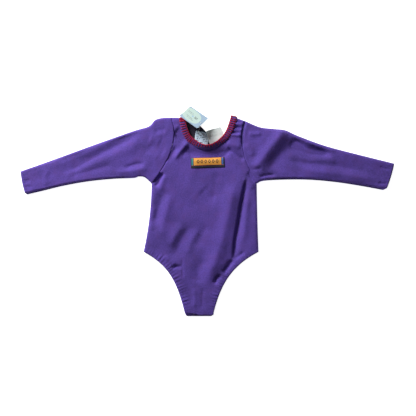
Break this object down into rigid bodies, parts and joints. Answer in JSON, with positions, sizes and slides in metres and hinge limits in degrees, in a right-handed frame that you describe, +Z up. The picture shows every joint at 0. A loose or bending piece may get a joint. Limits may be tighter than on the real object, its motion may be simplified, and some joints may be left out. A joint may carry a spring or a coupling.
{
  "type": "child's long-sleeved gymnastics leotard, laid flat",
  "caption": "Child's violet long-sleeved leotard laid flat, with a crimson whip-stitched neck, a woven chest patch, neck labels, a swing tag and a snap crotch.",
  "frame": {"origin": "on the back panel's underside, at the middle of the waist", "axes": "+X towards the wearer's left sleeve, +Y towards the neck, +Z up out of the front"},
  "size_m": [0.9285, 0.5236, 0.038],
  "materials": {
    "jersey": "brushed violet jersey, matt with a soft bloom",
    "jersey_band": "violet jersey folded into a binding",
    "yarn": "crimson soft-twist yarn",
    "elastic": "woven covered elastic",
    "facing": "near-black knitted facing",
    "thread": "violet overlock thread",
    "nickel": "nickel plated, softly polished",
    "patch_field": "orange woven patch with a plain geometric motif",
    "patch_edge": "dark woven edge",
    "care_label": "pale blue satin label with plain bars in place of print",
    "brand_label": "pale green folded satin label, left plain",
    "card": "coated pale blue card with a mint oval",
    "clear_plastic": "clear nylon"
  },
  "bodies": {
    "garment": {"back_crotch_placket": "jersey", "back_neck_facing": "facing", "back_panel": "jersey", "brand_label": "brand_label", "care_label": "care_label", "chest_patch": "patch_field", "front_panel": "jersey", "left_leg_elastic": "elastic", "left_shoulder_seam_thread": "thread", "left_side_seam_thread": "thread", "left_snap_stud": "nickel", "left_snap_stud_ring": "nickel", "neck_binding": "jersey_band", "neck_elastic": "elastic", "neck_stitch_yarn": "yarn", "patch_border": "patch_edge", "right_leg_elastic": "elastic", "right_shoulder_seam_thread": "thread", "right_side_seam_thread": "thread", "right_snap_stud": "nickel", "right_snap_stud_ring": "nickel"},
    "right_sleeve": {"right_sleeve": "jersey", "right_armhole_seam_thread": "thread", "right_underarm_seam_thread": "thread", "right_cuff_hem": "jersey"},
    "left_sleeve": {"left_sleeve": "jersey", "left_armhole_seam_thread": "thread", "left_underarm_seam_thread": "thread", "left_cuff_hem": "jersey"},
    "crotch_flap": {"front_crotch_placket": "jersey", "left_snap_socket": "nickel", "right_snap_socket": "nickel", "left_snap_socket_ring": "nickel", "right_snap_socket_ring": "nickel"},
    "tag_fastener": {"tag_fastener": "clear_plastic"},
    "hang_tag": {"hang_tag": "card"}
  },
  "joints": [
    {"name": "right_sleeve_fold", "type": "hinge", "parent": "garment", "child": "right_sleeve", "pos_m": [-0.115, 0.1664, 0.011], "axis": [0.2809, 0.9597, 0], "range_deg": [0, 180]},
    {"name": "left_sleeve_fold", "type": "hinge", "parent": "garment", "child": "left_sleeve", "pos_m": [0.1313, 0.1606, 0.016], "axis": [0.1778, -0.9841, 0], "range_deg": [0, 180]},
    {"name": "crotch_flap_fold", "type": "hinge", "parent": "garment", "child": "crotch_flap", "pos_m": [-0.0094, -0.2235, 0.0093], "axis": [-1, 0, 0], "range_deg": [0, 160]},
    {"name": "tag_fastener_swing", "type": "hinge", "parent": "garment", "child": "tag_fastener", "pos_m": [-0.0125, 0.2055, 0.0038], "axis": [0, 0, 1], "range_deg": [-15, 15]},
    {"name": "hang_tag_swivel", "type": "hinge", "parent": "tag_fastener", "child": "hang_tag", "pos_m": [-0.00587, 0.22939, 0.0275], "axis": [0.1102, 0.5183, 0.848], "range_deg": [-12, 60]}
  ]
}
